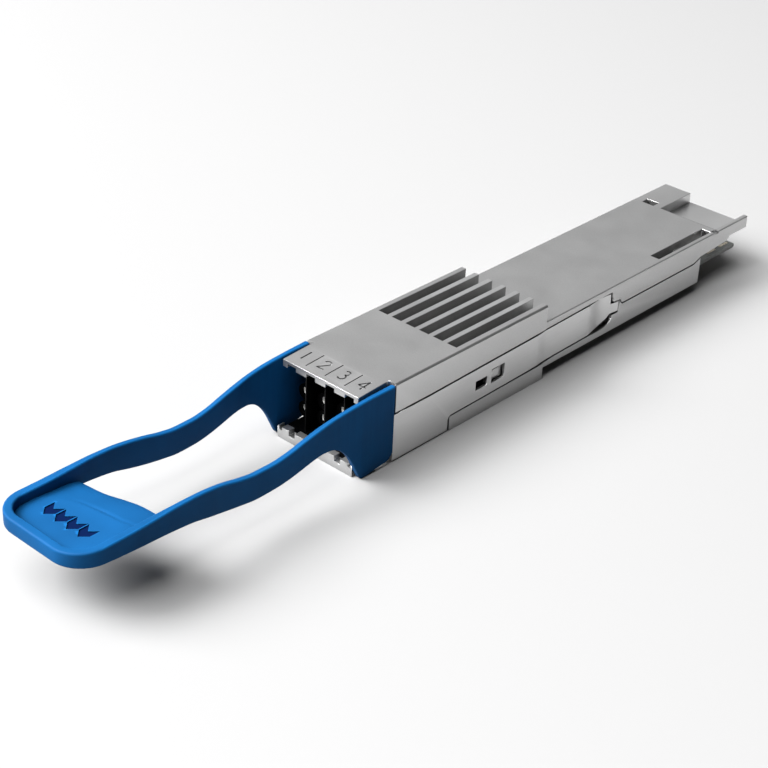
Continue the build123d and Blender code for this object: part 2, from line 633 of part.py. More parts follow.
RETAINER_T = 0.80
RETAINER_TOP = 9.60

with BuildPart() as ferrule_retainer:
    slab((-7.5, 7.5), (BLOCK_Y[1], BLOCK_Y[1] + RETAINER_T), (TUB_FLOOR + 0.1, RETAINER_TOP))
    for x in PORT_X:
        for z in SLEEVE_Z:
            with BuildSketch(Plane.XZ.offset(-BLOCK_Y[1])):
                with Locations((x, z)):
                    Circle(TAIL_R + FIT)
            extrude(amount=-RETAINER_T, mode=Mode.SUBTRACT)
save(ferrule_retainer.part, "ferrule_retainer")

# ---------------------------------------------------------------- fibres and optical engine
FIBRE_R = 0.20
ARRAY_Y = (35.6, 38.8)
ARRAY_PITCH = 0.60
ARRAY_HALF = 3.20
ARRAY_TOP = 7.30
CARRIER_HALF = 5.00
CARRIER_Y = (34.80, 47.40)
CARRIER_TOP = 5.80
FIBRE_Z = 6.60
LENS_BAR_HALF = 3.00
LENS_BAR_Y = (39.10, 40.30)
LENS_BAR_TOP = 7.10
LENS_R = 0.24
LASER_W = 0.50
LASER_Y = (40.90, 41.70)
LASER_TOP = 6.10
CHIP_X = (0.40, 4.20)       # driver on the left, receiver on the right
CHIP_Y = (42.20, 46.20)
CHIP_TOP = 6.20
ENGINE_LID_HALF = 5.40
ENGINE_LID_Y = (34.60, 47.60)
ENGINE_LID_TOP = 8.20
ENGINE_LID_WALL = 0.35
ENGINE_LID_ROOF = 0.40

with BuildPart() as fibre_pigtails:
    for port, x in enumerate(PORT_X):
        for row, z in enumerate(SLEEVE_Z):
            x_end = ARRAY_PITCH * (2 * port + row - 3.5)
            with BuildLine() as route:
                FilletPolyline(
                    (x, STUB_Y[1], z),
                    (x, 21.5, z),
                    (x_end, 31.0, FIBRE_Z),
                    (x_end, ARRAY_Y[0], FIBRE_Z),
                    radius=6,
                )
            with BuildSketch(Plane(origin=(x, STUB_Y[1], z), z_dir=(0, 1, 0))):
                Circle(FIBRE_R)
            sweep(path=route.line)
save(fibre_pigtails.part, "fibre_pigtails")

with BuildPart() as fibre_array_block:
    slab((-ARRAY_HALF, ARRAY_HALF), ARRAY_Y, (CARRIER_TOP, ARRAY_TOP))
    fillet(fibre_array_block.edges().filter_by(Axis.Z), radius=0.15)
save(fibre_array_block.part, "fibre_array_block")

with BuildPart() as engine_carrier:
    slab((-CARRIER_HALF, CARRIER_HALF), CARRIER_Y, (CARD_TOP, CARRIER_TOP))
save(engine_carrier.part, "engine_carrier")

with BuildPart() as lens_array:
    slab((-LENS_BAR_HALF, LENS_BAR_HALF), LENS_BAR_Y, (CARRIER_TOP, LENS_BAR_TOP))
    for i in range(8):
        with Locations((ARRAY_PITCH * (i - 3.5), LENS_BAR_Y[1], FIBRE_Z)):
            Sphere(LENS_R)
save(lens_array.part, "lens_array")

with BuildPart() as laser_chips:
    for i in range(4):
        x = ARRAY_PITCH * (2 * i - 3.5)
        slab((x - LASER_W / 2, x + LASER_W / 2), LASER_Y, (CARRIER_TOP, LASER_TOP))
save(laser_chips.part, "laser_chips")

with BuildPart() as driver_chip:
    slab((-CHIP_X[1], -CHIP_X[0]), CHIP_Y, (CARRIER_TOP, CHIP_TOP))
save(driver_chip.part, "driver_chip")

with BuildPart() as receiver_chip:
    slab(CHIP_X, CHIP_Y, (CARRIER_TOP, CHIP_TOP))
save(receiver_chip.part, "receiver_chip")

with BuildPart() as engine_lid:
    slab((-ENGINE_LID_HALF, ENGINE_LID_HALF), ENGINE_LID_Y, (CARD_TOP, ENGINE_LID_TOP))
    # hollow inside, and open to the fibres in front
    inner_half = ENGINE_LID_HALF - ENGINE_LID_WALL
    inner_y = (ENGINE_LID_Y[0], ENGINE_LID_Y[1] - 0.15)
    slab((-inner_half, inner_half), inner_y, (CARD_TOP, ENGINE_LID_TOP - ENGINE_LID_ROOF), Mode.SUBTRACT)
save(engine_lid.part, "engine_lid")

with BuildPart() as engine_thermal_pad:
    slab((-4.9, 4.9), (35.2, 47.0), (ENGINE_LID_TOP, SPLIT_Z))
save(engine_thermal_pad.part, "engine_thermal_pad")

# ---------------------------------------------------------------- circuit card
CONTACT_PITCH = 0.80
CONTACT_ROWS = ((91.6, 94.2), (95.6, 98.2))
CONTACT_T = 0.05
CONTACT_W = 0.54
CONTACTS_IN_ROW = 19
CARD_BEVEL = 0.28           # lead-in along the card's mating edge
PROCESSOR_Y = 56.00
PROCESSOR_HALF = 6.00
PROCESSOR_TOP = 5.90
PROCESSOR_LID_HALF = (4.80, 4.60)
PROCESSOR_LID_TOP = 6.75
POWER_ROW = (67.80, 71.40, 75.00)
SEAL_FRONT_GAP = 0.10

with BuildPart() as circuit_card:
    with BuildSketch(Plane.XY.offset(CARD_UNDER)):
        with Locations((0, (CARD_FRONT + CARD_STEP) / 2)):
            Rectangle(2 * CARD_NECK_HALF, CARD_STEP - CARD_FRONT)
        with Locations((0, (CARD_STEP + CARD_END) / 2)):
            Rectangle(2 * CARD_HALF, CARD_END - CARD_STEP)
    extrude(amount=CARD_TOP - CARD_UNDER)
    end_edges = circuit_card.edges().filter_by(Axis.X).group_by(Axis.Y)[-1]
    chamfer(end_edges, length=CARD_BEVEL)
    for x, y in SCREW_PLACES:
        if y > CARD_FRONT:
            with Locations((x, y, (CARD_TOP + CARD_UNDER) / 2)):
                Cylinder(SCREW_R + 0.1, 2, mode=Mode.SUBTRACT)
save(circuit_card.part, "circuit_card")

for name, z_low in (("contacts_top", CARD_TOP), ("contacts_bottom", CARD_UNDER - CONTACT_T)):
    with BuildPart() as contacts:
        for y_low, y_high in CONTACT_ROWS:
            for i in range(CONTACTS_IN_ROW):
                x = CONTACT_PITCH * (i - (CONTACTS_IN_ROW - 1) / 2)
                slab((x - CONTACT_W / 2, x + CONTACT_W / 2), (y_low, y_high), (z_low, z_low + CONTACT_T))
    save(contacts.part, name)

with BuildPart() as signal_processor:
    body_y = (PROCESSOR_Y - PROCESSOR_HALF + 0.2, PROCESSOR_Y + PROCESSOR_HALF - 0.2)
    slab((-PROCESSOR_HALF, PROCESSOR_HALF), body_y, (CARD_TOP, PROCESSOR_TOP))
    lid_x, lid_y = PROCESSOR_LID_HALF
    slab((-lid_x, lid_x), (PROCESSOR_Y - lid_y, PROCESSOR_Y + lid_y), (PROCESSOR_TOP, PROCESSOR_LID_TOP))
save(signal_processor.part, "signal_processor")

with BuildPart() as processor_thermal_pad:
    slab((-lid_x, lid_x), (PROCESSOR_Y - lid_y, PROCESSOR_Y + lid_y), (PROCESSOR_LID_TOP, PEDESTAL_Z))
save(processor_thermal_pad.part, "processor_thermal_pad")

with BuildPart() as microcontroller:
    slab((-6.4, -2.4), (66.5, 70.5), (CARD_TOP, 6.2))
save(microcontroller.part, "microcontroller")

with BuildPart() as power_inductors:
    for y in POWER_ROW:
        slab((1.2, 3.9), (y - 1.35, y + 1.35), (CARD_TOP, 6.9))
save(power_inductors.part, "power_inductors")

with BuildPart() as power_regulators:
    for y in POWER_ROW:
        slab((4.6, 6.6), (y - 1.0, y + 1.0), (CARD_TOP, 6.1))
save(power_regulators.part, "power_regulators")

with BuildPart() as capacitors:
    for x in (-5.6, -4.0, -2.4, -0.8):
        for y in (73.0, 75.4, 77.8):
            slab((x - 0.5, x + 0.5), (y - 0.28, y + 0.28), (CARD_TOP, 5.85))
    for i in range(8):
        slab((-6.3 + 1.75 * i, -5.8 + 1.75 * i), (88.2, 89.2), (CARD_TOP, 5.75))
save(capacitors.part, "capacitors")

with BuildPart() as crystal_oscillator:
    slab((-1.6, 0.4), (67.0, 69.5), (CARD_TOP, 6.0))
save(crystal_oscillator.part, "crystal_oscillator")

with BuildPart() as rear_seal:
    slab((-7.9, 7.9), (SHELL_END + SEAL_FRONT_GAP, 89.2), (3.2, CARD_UNDER))
    fillet(rear_seal.edges().filter_by(Axis.X).group_by(Axis.Z)[0], radius=0.3)
save(rear_seal.part, "rear_seal")

with BuildPart() as housing_screws:
    for x, y in SCREW_PLACES:
        seat = 0 if y < NOSE_END else BODY_BOTTOM
        with Locations((x, y, seat + 0.05 + SCREW_HEAD_H / 2)):
            Cylinder(SCREW_HEAD_R, SCREW_HEAD_H)
        low = seat + 0.05 + SCREW_HEAD_H
        with Locations((x, y, (low + 8.6) / 2)):
            Cylinder(SCREW_R, 8.6 - low)
        with BuildSketch(Plane.XY.offset(seat)):
            with Locations((x, y)):
                RegularPolygon(SCREW_DRIVE_R, 6)
        extrude(amount=0.45, mode=Mode.SUBTRACT)
save(housing_screws.part, "housing_screws")

with BuildPart() as bottom_label:
    with BuildSketch(Plane.XY.offset(BODY_BOTTOM + 0.03)):
        with Locations((0, (LABEL_Y[0] + LABEL_Y[1]) / 2)):
            RectangleRounded(2 * LABEL_HALF - 0.4, LABEL_Y[1] - LABEL_Y[0] - 0.4, 0.8)
    extrude(amount=LABEL_DEPTH - 0.03)
save(bottom_label.part, "bottom_label")
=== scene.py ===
"""Looks of a pluggable optical transceiver module: finned metal nose, latch strips, blue pull tab."""
import json
import math
import bpy
import bmesh
import numpy as np
from mathutils import Matrix, Vector


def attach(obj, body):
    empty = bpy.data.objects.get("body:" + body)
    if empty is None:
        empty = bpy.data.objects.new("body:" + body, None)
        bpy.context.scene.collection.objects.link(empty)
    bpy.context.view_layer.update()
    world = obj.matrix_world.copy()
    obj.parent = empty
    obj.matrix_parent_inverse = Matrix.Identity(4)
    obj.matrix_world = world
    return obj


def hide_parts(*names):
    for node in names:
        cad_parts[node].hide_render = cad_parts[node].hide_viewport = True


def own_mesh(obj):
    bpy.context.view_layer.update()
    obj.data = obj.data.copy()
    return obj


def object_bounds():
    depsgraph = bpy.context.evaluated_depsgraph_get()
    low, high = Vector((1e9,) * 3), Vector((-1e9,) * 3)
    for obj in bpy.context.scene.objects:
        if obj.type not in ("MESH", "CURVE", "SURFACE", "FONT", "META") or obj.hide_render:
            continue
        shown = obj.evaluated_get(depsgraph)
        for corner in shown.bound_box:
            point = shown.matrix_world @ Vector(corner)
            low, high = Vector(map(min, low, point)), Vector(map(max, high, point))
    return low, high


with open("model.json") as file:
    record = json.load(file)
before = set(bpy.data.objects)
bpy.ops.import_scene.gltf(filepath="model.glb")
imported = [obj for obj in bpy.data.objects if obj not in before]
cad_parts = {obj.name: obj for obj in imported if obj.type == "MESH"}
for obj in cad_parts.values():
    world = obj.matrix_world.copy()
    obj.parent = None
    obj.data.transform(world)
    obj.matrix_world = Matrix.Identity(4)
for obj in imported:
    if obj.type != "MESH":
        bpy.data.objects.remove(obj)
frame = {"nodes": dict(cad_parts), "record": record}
cad_low, cad_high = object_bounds()
MM = 0.001
NODES = frame["nodes"]


# ---------------------------------------------------------------- material helpers
class Shader:
    """A small wrapper that builds a procedural material around one Principled shader."""

    def __init__(self, name, **sockets):
        self.material = bpy.data.materials.new(name)
        self.material.use_nodes = True
        self.nodes = self.material.node_tree.nodes
        self.links = self.material.node_tree.links
        self.principled = self.nodes["Principled BSDF"]
        self.place = self.nodes.new("ShaderNodeTexCoord").outputs["Object"]
        for key, value in sockets.items():
            self.principled.inputs[key.replace("_", " ")].default_value = value

    def link(self, source, target):
        self.links.new(source, target)

    def stretched(self, scale):
        """The object's own coordinates, in metres, stretched by a factor along each axis."""
        mapping = self.nodes.new("ShaderNodeMapping")
        mapping.inputs["Scale"].default_value = scale
        self.link(self.place, mapping.inputs["Vector"])
        return mapping.outputs["Vector"]

    def noise(self, size, detail=3.0, roughness=0.55, stretch=(1, 1, 1)):
        """Noise with features of about the given size in metres; its output is about 0.5 on average."""
        node = self.nodes.new("ShaderNodeTexNoise")
        node.inputs["Scale"].default_value = 1.0
        node.inputs["Detail"].default_value = detail
        node.inputs["Roughness"].default_value = roughness
        self.link(self.stretched([s / size for s in stretch]), node.inputs["Vector"])
        return node.outputs["Fac"]

    def cells(self, size, stretch=(1, 1, 1)):
        """Distance to the nearest point of a random scatter that is about the given size apart, in metres."""
        node = self.nodes.new("ShaderNodeTexVoronoi")
        node.inputs["Scale"].default_value = 1.0
        self.link(self.stretched([s / size for s in stretch]), node.inputs["Vector"])
        return node.outputs["Distance"]

    def remap(self, value, low, high, to_low, to_high):
        node = self.nodes.new("ShaderNodeMapRange")
        node.inputs["From Min"].default_value = low
        node.inputs["From Max"].default_value = high
        node.inputs["To Min"].default_value = to_low
        node.inputs["To Max"].default_value = to_high
        self.link(value, node.inputs["Value"])
        return node.outputs["Result"]

    def blend(self, factor, first, second):
        """A colour that runs from first to second; either may be a colour or another socket."""
        node = self.nodes.new("ShaderNodeMix")
        node.data_type = "RGBA"
        self.link(factor, node.inputs["Factor"])
        for slot, value in ((6, first), (7, second)):
            if isinstance(value, bpy.types.NodeSocket):
                self.link(value, node.inputs[slot])
            else:
                node.inputs[slot].default_value = (*value, 1.0)
        return node.outputs[2]

    def maths(self, operation, first, second):
        node = self.nodes.new("ShaderNodeMath")
        node.operation = operation
        for slot, value in ((0, first), (1, second)):
            if isinstance(value, bpy.types.NodeSocket):
                self.link(value, node.inputs[slot])
            else:
                node.inputs[slot].default_value = value
        return node.outputs[0]

    def edges(self):
        """About 1 along convex edges, 0 elsewhere."""
        geometry = self.nodes.new("ShaderNodeNewGeometry")
        return self.remap(geometry.outputs["Pointiness"], 0.52, 0.60, 0.0, 1.0)

    def open_air(self, reach):
        """1 in the open, falling to 0 in slots and corners narrower than the reach in metres; the materials
        use it to paint shade into hollows.
        """
        occlusion = self.nodes.new("ShaderNodeAmbientOcclusion")
        occlusion.samples = 8
        occlusion.inputs["Distance"].default_value = reach
        return self.remap(occlusion.outputs["AO"], 0.15, 0.80, 0.0, 1.0)

    def colour(self, socket):
        self.link(socket, self.principled.inputs["Base Color"])

    def roughness(self, socket):
        self.link(socket, self.principled.inputs["Roughness"])

    def bump(self, height, distance):
        """Bump from a height of 0 to 1 that stands for a distance in metres, on top of any earlier bump."""
        node = self.nodes.new("ShaderNodeBump")
        node.inputs["Distance"].default_value = distance
        node.inputs["Strength"].default_value = 1.0
        self.link(height, node.inputs["Height"])
        previous = self.principled.inputs["Normal"].links
        if previous:
            self.link(previous[0].from_socket, node.inputs["Normal"])
        self.link(node.outputs["Normal"], self.principled.inputs["Normal"])


def cast_metal(name, tone, rough):
    """Satin nickel plating on a die casting: pitted grain, faint flow clouds, rubbed edges, and painted shade
    in slots and corners.
    """
    m = Shader(name, Metallic=1.0)
    fine = m.noise(0.00022, 2.0, 0.6)
    clouds = m.noise(0.006, 3.0, 0.5)
    pits = m.cells(0.00045)
    base = m.blend(m.remap(clouds, 0.3, 0.7, 0, 1), [tone * 0.98] * 3, [tone * 1.02] * 3)
    base = m.blend(m.remap(fine, 0.35, 0.75, 0.0, 0.5), base, [tone * 0.82] * 3)
    base = m.blend(m.maths("MULTIPLY", m.edges(), 0.6), base, [min(tone * 1.3, 0.95)] * 3)
    # painted shade: the casting's colour darkens in slots and corners, where little light reaches
    base = m.blend(m.open_air(0.0026), [tone * 0.36] * 3, base)
    m.colour(base)
    m.roughness(m.remap(m.maths("ADD", fine, clouds), 0.6, 1.4, rough - 0.02, rough + 0.04))
    m.bump(fine, 0.000012)
    m.bump(m.remap(pits, 0.0, 0.35, 0.0, 1.0), 0.000008)
    return m.material


def strip_metal(name, tone, rough=0.31):
    """Satin stainless strip: fine bead-blasted grain, faint rolling lines and smudges, and painted shade in
    hollows.
    """
    m = Shader(name, Metallic=1.0)
    lines = m.noise(0.0009, 3.0, 0.6, (5.0, 0.25, 5.0))
    smudge = m.noise(0.005, 2.0, 0.5)
    base = m.blend(m.remap(lines, 0.3, 0.7, 0, 1), [tone * 0.97] * 3, [tone * 1.02] * 3)
    base = m.blend(m.maths("MULTIPLY", m.edges(), 0.5), base, [min(tone * 1.25, 0.95)] * 3)
    # painted shade: the strip's colour darkens in narrow gaps and corners
    base = m.blend(m.open_air(0.0012), [tone * 0.3] * 3, base)
    m.colour(base)
    m.roughness(m.remap(m.maths("ADD", lines, smudge), 0.6, 1.4, rough - 0.02, rough + 0.03))
    m.bump(m.noise(0.00016, 2.0, 0.6), 0.0000015)
    return m.material


def moulded(name, colour, rough, texture=0.00018, depth=0.000008, wear_and_highlight=0.25, shade=0.0, **sockets):
    """Moulded plastic or rubber: spark-eroded grain and slight tone drift.

    rub is how far the edges are painted lighter, partly as wear and partly as a painted highlight, and shade
    how far inner corners get painted shade, each from 0 to 1."""
    m = Shader(name, **sockets)
    grain = m.noise(texture, 3.0, 0.6)
    drift = m.noise(0.009, 2.0, 0.5)
    darker = [c * 0.86 for c in colour]
    lighter = [min(c * 1.10, 1.0) for c in colour]
    base = m.blend(m.remap(drift, 0.3, 0.7, 0, 1), darker, lighter)
    base = m.blend(m.remap(grain, 0.4, 0.8, 0.0, 0.3), base, [c * 0.8 for c in colour])
    # edges painted lighter: partly wear, partly a painted highlight
    base = m.blend(m.maths("MULTIPLY", m.edges(), wear_and_highlight), base, [min(c * 1.6, 1.0) for c in colour])
    # painted shade in inner corners
    if shade:
        base = m.blend(m.open_air(0.0022), [c * (1 - shade) for c in colour], base)
    m.colour(base)
    m.roughness(m.remap(m.maths("ADD", grain, drift), 0.6, 1.4, rough - 0.06, rough + 0.08))
    m.bump(grain, depth)
    return m.material


def ceramic(name, colour, rough=0.18):
    """Dense fired ceramic with a very fine grain."""
    m = Shader(name)
    grain = m.noise(0.0001, 3.0, 0.6)
    base = m.blend(grain, [c * 0.93 for c in colour], colour)
    m.colour(base)
    m.roughness(m.remap(grain, 0.3, 0.7, rough - 0.05, rough + 0.08))
    m.bump(grain, 0.000002)
    return m.material


def laminate(name):
    """Solder mask over a woven glass laminate, with copper traces that show faintly through it."""
    m = Shader(name)
    warp = m.noise(0.0005, 1.0, 0.5, (0.15, 1, 1))
    weft = m.noise(0.0005, 1.0, 0.5, (1, 0.15, 1))
    weave = m.maths("MULTIPLY", warp, weft)
    traces = m.cells(0.0016, (1, 0.25, 1))
    base = m.blend(m.remap(traces, 0.28, 0.34, 0, 1), (0.085, 0.09, 0.086), (0.062, 0.067, 0.064))
    m.colour(base)
    m.roughness(m.remap(weave, 0.15, 0.35, 0.28, 0.40))
    m.bump(weave, 0.00001)
    m.bump(m.remap(traces, 0.28, 0.34, 1, 0), 0.00002)
    return m.material


def gold_plate(name):
    """Hard gold plating with faint wipe marks along the way of insertion."""
    m = Shader(name, Metallic=1.0)
    fine = m.noise(0.0002, 3.0, 0.6)
    wipes = m.noise(0.0008, 3.0, 0.6, (6, 0.2, 1))
    m.colour(m.blend(wipes, (0.60, 0.54, 0.42), (0.68, 0.63, 0.52)))
    m.roughness(m.remap(m.maths("ADD", fine, wipes), 0.6, 1.4, 0.18, 0.34))
    m.bump(wipes, 0.000003)
    return m.material


def glass(name):
    """Optical glass with a faint haze."""
    m = Shader(name, IOR=1.46, Transmission_Weight=0.9)
    haze = m.noise(0.0008, 3.0, 0.6)
    m.colour(m.blend(haze, (0.86, 0.93, 0.95), (0.96, 0.99, 1.0)))
    m.roughness(m.remap(haze, 0.3, 0.7, 0.02, 0.10))
    return m.material


CAST = cast_metal("satin_nickel_casting", 0.52, 0.37)
STRIP = strip_metal("stainless_strip", 0.63)
# the blue's rims carry a strong painted highlight along their edges, and painted shade in their inner corners
BLUE = moulded("blue_moulding", (0.0022, 0.043, 0.126), 0.55, wear_and_highlight=0.7, shade=0.6, Specular_IOR_Level=0.05)
BLACK = moulded("black_moulding", (0.010, 0.010, 0.011), 0.50)
# dark navy ink for the marks, which also stands in for painted shade inside the engraving
NAVY_INK_AND_SHADE = moulded("navy_ink_and_painted_shade", (0.0004, 0.004, 0.024), 0.60, Specular_IOR_Level=0.02)
# black plastic made darker still, as painted shade deep inside the ports
PORT_BLACK_AND_SHADE = moulded("port_black_and_shade", (0.0006, 0.0006, 0.0007), 0.50, Specular_IOR_Level=0.02)
RUBBER = moulded("black_elastomer", (0.016, 0.016, 0.018), 0.68, 0.0003, 0.000015)
ZIRCONIA = ceramic("polished_zirconia", (0.84, 0.83, 0.80))
STEEL = strip_metal("plain_stainless", 0.52, 0.30)
COATING = moulded("fibre_coating", (0.75, 0.62, 0.22), 0.30)
GLASS = glass("optic_glass")
CERAMIC = ceramic("fired_ceramic", (0.70, 0.62, 0.50), 0.45)
DIE = moulded("silicon_die", (0.06, 0.06, 0.075), 0.16, 0.0004, 0.000002)
PACKAGE = moulded("epoxy_package", (0.02, 0.02, 0.021), 0.52)
LID = strip_metal("stamped_lid", 0.64, 0.32)
PAD = moulded("gap_filler", (0.33, 0.40, 0.52), 0.72, 0.0004, 0.00002)
LAMINATE = laminate("solder_mask_laminate")
GOLD = gold_plate("hard_gold")
LABEL = moulded("blank_silver_film", (0.62, 0.62, 0.63), 0.34, 0.0006, 0.000003)

SLOT_MATERIAL = {
    "cast_shell": CAST,
    "strip_steel": STRIP,
    "blue_plastic": BLUE,
    "black_plastic": BLACK,
    "gasket_rubber": RUBBER,
    "zirconia": ZIRCONIA,
    "steel": STEEL,
    "fibre_coating": COATING,
    "optic_glass": GLASS,
    "ceramic": CERAMIC,
    "chip_die": DIE,
    "chip_package": PACKAGE,
    "lid_metal": LID,
    "thermal_pad": PAD,
    "laminate": LAMINATE,
    "gold": GOLD,
    "label_film": LABEL,
}


def slot_of(node):
    """The record's material slot of a CAD node."""
    return next(s["material_slot"] for s in frame["record"]["subparts"] if s["node"] == node)


def body_of(node):
    """The body that a CAD node belongs to."""
    return next(b for b, members in frame["record"]["behaviour"]["bodies"].items() if node in members)


for node_name, cad_object in NODES.items():
    cad_object.data.materials.clear()
    cad_object.data.materials.append(SLOT_MATERIAL[slot_of(node_name)])


# ---------------------------------------------------------------- refined copies of CAD shapes
SHARP_DEG = 35.0            # edges that turn more than this get a radius
SHORTEST_EDGE = 0.6         # and shorter ones stay sharp
COPLANAR_DEG = 0.6          # facets closer than this to one plane are joined first
NUMERAL_FIELD_Y = (0.1, 5.3)            # where the engraving over the ports lies, in mm
NUMERAL_FIELD_HALF = 7.7
NUMERAL_FIELD_LOW = 12.9
DECK_TOP = 10.5
DECK_EDGE_X = 9.0           # the deck's long edges lie further out than this
SHOULDER_Y = 6.6
LIP_REAR = 1.3              # rear end of the notched lip under the ports


def refined(node, width_mm, weight_at=None, segments=2):
    """A piece with a CAD node's shape whose long sharp edges carry real small radii.

    weight_at(middle, direction), in millimetres, gives an edge's share of the full width, 0 for none."""
    mesh = NODES[node].data.copy()
    piece = bpy.data.objects.new(node + "_fine", mesh)
    bpy.context.scene.collection.objects.link(piece)
    bm = bmesh.new()
    bm.from_mesh(mesh)
    bmesh.ops.remove_doubles(bm, verts=bm.verts, dist=1e-7)
    bmesh.ops.dissolve_limit(bm, angle_limit=math.radians(COPLANAR_DEG), verts=bm.verts, edges=bm.edges)
    weight = bm.edges.layers.float.new("bevel_weight_edge")
    for edge in bm.edges:
        sharp = len(edge.link_faces) == 2 and edge.calc_face_angle(0.0) > math.radians(SHARP_DEG)
        edge.smooth = not sharp
        if sharp and edge.calc_length() > SHORTEST_EDGE * MM:
            middle = (edge.verts[0].co + edge.verts[1].co) / (2 * MM)
            direction = (edge.verts[1].co - edge.verts[0].co).normalized()
            share = weight_at(middle, direction) if weight_at else 1.0
            edge[weight] = share
            edge.smooth = share > 0
    for face in bm.faces:
        face.smooth = True
    bm.to_mesh(mesh)
    bm.free()
    bevel = piece.modifiers.new("radii", "BEVEL")
    bevel.width = width_mm * MM
    bevel.segments = segments
    bevel.limit_method = "WEIGHT"
    bevel.use_clamp_overlap = False
    triangles = piece.modifiers.new("triangles", "TRIANGULATE")
    triangles.min_vertices = 5
    normals = piece.modifiers.new("normals", "WEIGHTED_NORMAL")
    normals.weight = 100
    normals.keep_sharp = True
    mesh.materials.clear()
    mesh.materials.append(SLOT_MATERIAL[slot_of(node)])
    apply_modifiers(piece)
    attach(piece, body_of(node))
    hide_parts(node)
    return piece


def top_shell_weight(middle, direction):
    """The deck's long edges are the softest; the engraving and the upright shoulder edges stay crisp."""
    in_field = NUMERAL_FIELD_Y[0] < middle.y < NUMERAL_FIELD_Y[1] and abs(middle.x) < NUMERAL_FIELD_HALF
    if middle.z > NUMERAL_FIELD_LOW and in_field:
        return 0.0
    if abs(direction.y) > 0.9 and abs(middle.z - DECK_TOP) < 0.05 and abs(middle.x) > DECK_EDGE_X:
        return 1.0
    if abs(direction.z) > 0.9 and abs(middle.y - SHOULDER_Y) < 0.1:
        return 0.0
    if abs(direction.x) > 0.9:
        return 0.05 if middle.y < NUMERAL_FIELD_Y[0] else 0.12
    return 0.27


def bottom_shell_weight(middle, direction):
    """Crisp edges on the notched lip under the ports, finer radii across the module than along it."""
    if middle.y < LIP_REAR:
        return 0.10
    return 0.25 if abs(direction.x) > 0.9 else 0.7


def apply_modifiers(piece):
    """Bake a piece's modifiers into its mesh."""
    depsgraph = bpy.context.evaluated_depsgraph_get()
    final = bpy.data.meshes.new_from_object(piece.evaluated_get(depsgraph))
    piece.modifiers.clear()
    piece.data = final


def smooth_by_angle(piece, angle_deg=32.0):
    """Smooth shading, split at the edges that are sharper than an angle."""
    for polygon in piece.data.polygons:
        polygon.use_smooth = True
    piece.data.set_sharp_from_angle(angle=math.radians(angle_deg))


refined("top_shell", 0.30, top_shell_weight, segments=3)
refined("bottom_shell", 0.12, bottom_shell_weight)
refined("latch_slider", 0.06)
receptacle = refined("port_receptacle", 0.05)
# the receptacle is painted near-black: partly its black plastic, partly painted shade deep inside the ports
receptacle.data.materials[0] = PORT_BLACK_AND_SHADE
refined("circuit_card", 0.05)


# ---------------------------------------------------------------- return springs
def return_spring(node):
    """The CAD spring's wire as its own smooth-shaded piece on the spring's body; its front end is fixed."""
    piece = bpy.data.objects.new(node + "_wire", NODES[node].data.copy())
    bpy.context.scene.collection.objects.link(piece)
    smooth_by_angle(piece)
    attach(piece, body_of(node))
    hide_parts(node)
    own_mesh(piece)


return_spring("return_spring_left")
return_spring("return_spring_right")


# ---------------------------------------------------------------- mesh helpers
def curve_through(points):
    """A smooth function through (place, value) pairs, without overshoot between them."""
    places, values = (np.array(column, float) for column in zip(*sorted(points)))
    steps = np.diff(values) / np.diff(places)
    slopes = np.zeros(len(places))
    slopes[0], slopes[-1] = steps[0], steps[-1]
    for i in range(1, len(places) - 1):
        if steps[i - 1] * steps[i] > 0:
            slopes[i] = 2 * steps[i - 1] * steps[i] / (steps[i - 1] + steps[i])

    def value_at(place):
        i = int(np.clip(np.searchsorted(places, place) - 1, 0, len(places) - 2))
        gap = places[i + 1] - places[i]
        t = min(max((place - places[i]) / gap, 0.0), 1.0)
        return (
            values[i] * (1 + 2 * t) * (1 - t) ** 2 + slopes[i] * gap * t * (1 - t) ** 2
            + values[i + 1] * t * t * (3 - 2 * t) + slopes[i + 1] * gap * t * t * (t - 1))

    return value_at


def mesh_object(name, vertices, faces):
    """A new object from vertices in millimetres."""
    mesh = bpy.data.meshes.new(name)
    mesh.from_pydata([tuple(c * MM for c in v) for v in vertices], [], faces)
    mesh.validate()
    bm = bmesh.new()
    bm.from_mesh(mesh)
    bmesh.ops.recalc_face_normals(bm, faces=bm.faces)
    bm.to_mesh(mesh)
    bm.free()
    piece = bpy.data.objects.new(name, mesh)
    bpy.context.scene.collection.objects.link(piece)
    return piece


def loft(name, rings):
    """A closed skin through rings of equally many points, capped at both ends."""
    count = len(rings[0])
    faces = []
    for i in range(len(rings) - 1):
        for j in range(count):
            k = (j + 1) % count
            faces.append((i * count + j, i * count + k, (i + 1) * count + k, (i + 1) * count + j))
    faces.append(tuple(range(count)))
    faces.append(tuple((len(rings) - 1) * count + j for j in range(count)))
    return mesh_object(name, [point for ring in rings for point in ring], faces)


def finish_piece(piece, body, slot_name, angle_deg=32.0):
    """Smooth shading split at sharp edges, the slot's material, and the body that it rides on."""
    piece.data.materials.clear()
    piece.data.materials.append(SLOT_MATERIAL[slot_name])
    smooth_by_angle(piece, angle_deg)
    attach(piece, body)
    return piece


def cut(piece, cutter):
    """Take a closed cutter away from a piece, and remove the cutter."""
    boolean = piece.modifiers.new("cut", "BOOLEAN")
    boolean.operation = "DIFFERENCE"
    boolean.solver = "EXACT"
    boolean.object = cutter
    apply_modifiers(piece)
    bpy.data.objects.remove(cutter)


